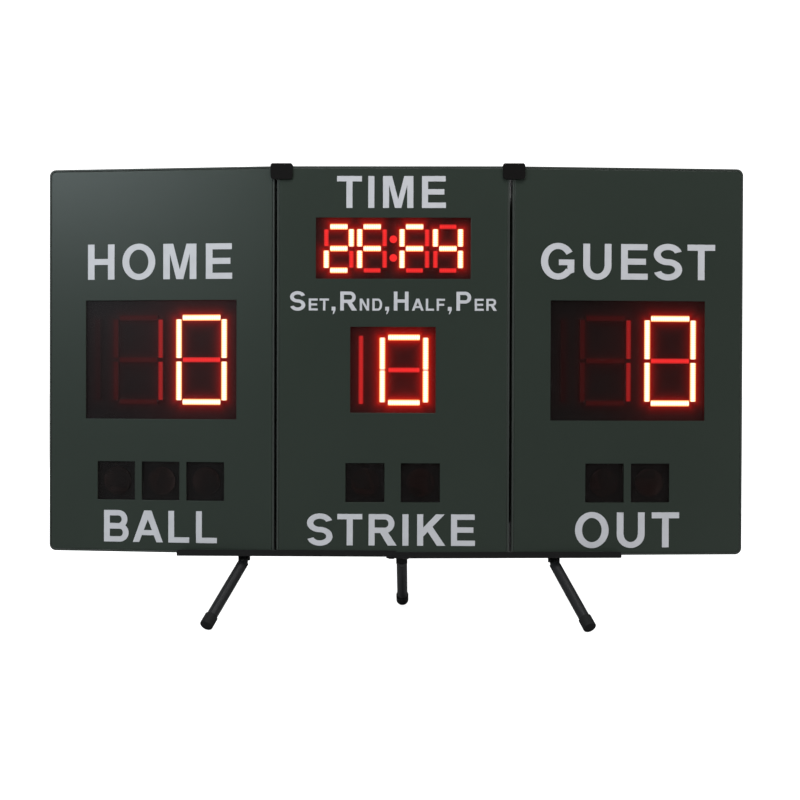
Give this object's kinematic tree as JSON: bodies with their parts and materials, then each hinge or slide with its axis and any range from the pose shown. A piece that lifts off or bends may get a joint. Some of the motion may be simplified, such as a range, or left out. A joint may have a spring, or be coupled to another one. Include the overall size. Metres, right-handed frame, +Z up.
{
  "type": "folding_electronic_scoreboard",
  "caption": "Three-panel folding electronic scoreboard with lit score, clock and period digits and round indicator lamps, on a rail stand with three splayed folding legs",
  "frame": {"origin": "on the ground under the middle of the object", "axes": "+X to the guest side as the front is seen, +Y to the back, +Z up; the front faces -Y"},
  "size_m": [0.8026, 0.171, 0.5219],
  "materials": {
    "panel_green": "fine satin dark green sheet",
    "cover_plastic": "satin dark grey green moulding",
    "smoked_lens": "smoked translucent plastic with a soft sheen",
    "circuit_board": "solder-mask board with light bars",
    "black_plastic": "satin black moulding",
    "rubber": "matt black rubber",
    "coated_sheet": "black powder-coated sheet",
    "coated_tube": "black powder-coated tube",
    "steel": "plain plated steel",
    "battery_wrap": "plain printed battery sleeve without lettering"
  },
  "bodies": {
    "stand": {"home_rail": "coated_sheet", "guest_rail": "coated_sheet", "home_rail_rivet": "steel", "guest_rail_rivet": "steel", "home_leg_bracket": "coated_sheet", "guest_leg_bracket": "coated_sheet", "rear_leg_bracket": "coated_sheet", "home_leg_pivot_pin": "steel", "guest_leg_pivot_pin": "steel", "rear_leg_pivot_pin": "steel"},
    "board": {"centre_front_panel": "panel_green", "centre_rear_cover": "cover_plastic", "clock_lens": "smoked_lens", "period_lens": "smoked_lens", "strike_lens": "smoked_lens", "clock_display": "circuit_board", "period_display": "circuit_board", "strike_lamp_board": "circuit_board", "control_board": "circuit_board", "buzzer": "black_plastic", "battery_holder": "black_plastic", "battery_1": "battery_wrap", "battery_2": "battery_wrap", "battery_3": "battery_wrap", "battery_4": "battery_wrap", "power_switch_body": "black_plastic", "centre_home_side_grommet": "rubber", "centre_guest_side_grommet": "rubber", "home_hinge_centre_leaf": "steel", "guest_hinge_centre_leaf": "steel", "home_hinge_pin": "steel", "guest_hinge_pin": "steel"},
    "home_wing": {"home_front_panel": "panel_green", "home_rear_cover": "cover_plastic", "home_score_lens": "smoked_lens", "ball_lens": "smoked_lens", "home_score_display": "circuit_board", "ball_lamp_board": "circuit_board", "home_wing_cable_grommet": "rubber", "home_hinge_wing_leaf": "steel"},
    "guest_wing": {"guest_front_panel": "panel_green", "guest_rear_cover": "cover_plastic", "guest_score_lens": "smoked_lens", "out_lens": "smoked_lens", "guest_score_display": "circuit_board", "out_lamp_board": "circuit_board", "guest_wing_cable_grommet": "rubber", "guest_hinge_wing_leaf": "steel"},
    "home_clip": {"home_seam_clip": "coated_sheet"},
    "guest_clip": {"guest_seam_clip": "coated_sheet"},
    "home_leg": {"home_leg_tube": "coated_tube", "home_leg_foot_cap": "rubber"},
    "guest_leg": {"guest_leg_tube": "coated_tube", "guest_leg_foot_cap": "rubber"},
    "rear_leg": {"rear_leg_tube": "coated_tube", "rear_leg_foot_cap": "rubber"},
    "battery_cover": {"battery_door": "cover_plastic"},
    "rocker": {"power_rocker": "black_plastic"}
  },
  "joints": [
    {"name": "board_lift", "type": "slide", "parent": "stand", "child": "board", "axis": [0, 0, 1], "range_m": [0, 0.04]},
    {"name": "home_wing_fold", "type": "hinge", "parent": "board", "child": "home_wing", "pos_m": [-0.1348, 0.00405, 0.2975], "axis": [0, 0, -1], "range_deg": [-5.5, 174.5]},
    {"name": "guest_wing_fold", "type": "hinge", "parent": "board", "child": "guest_wing", "pos_m": [0.1327, 0.01855, 0.2975], "axis": [0, 0, 1], "range_deg": [-3.8, 176.2]},
    {"name": "home_clip_lift", "type": "slide", "parent": "board", "child": "home_clip", "axis": [0, 0, 1], "range_m": [0, 0.025]},
    {"name": "guest_clip_lift", "type": "slide", "parent": "board", "child": "guest_clip", "axis": [0, 0, 1], "range_m": [0, 0.025]},
    {"name": "home_leg_fold", "type": "hinge", "parent": "stand", "child": "home_leg", "pos_m": [-0.1728, -0.01145, 0.06383], "axis": [0, -0.6431, 0.7658], "range_deg": [0, 108.4]},
    {"name": "guest_leg_fold", "type": "hinge", "parent": "stand", "child": "guest_leg", "pos_m": [0.1868, -0.01145, 0.06383], "axis": [0, 0.6431, -0.7658], "range_deg": [0, 108.4]},
    {"name": "rear_leg_fold", "type": "hinge", "parent": "stand", "child": "rear_leg", "pos_m": [0.0105, 0.00555, 0.06383], "axis": [0, -0.6101, -0.7923], "range_deg": [0, 90]},
    {"name": "battery_door_slide", "type": "slide", "parent": "board", "child": "battery_cover", "axis": [0, 0, 1], "range_m": [0, 0.06]},
    {"name": "power_rocker_tilt", "type": "hinge", "parent": "board", "child": "rocker", "pos_m": [-0.07, 0.00185, 0.19903], "axis": [1, 0, 0], "range_deg": [-16, 0]}
  ]
}
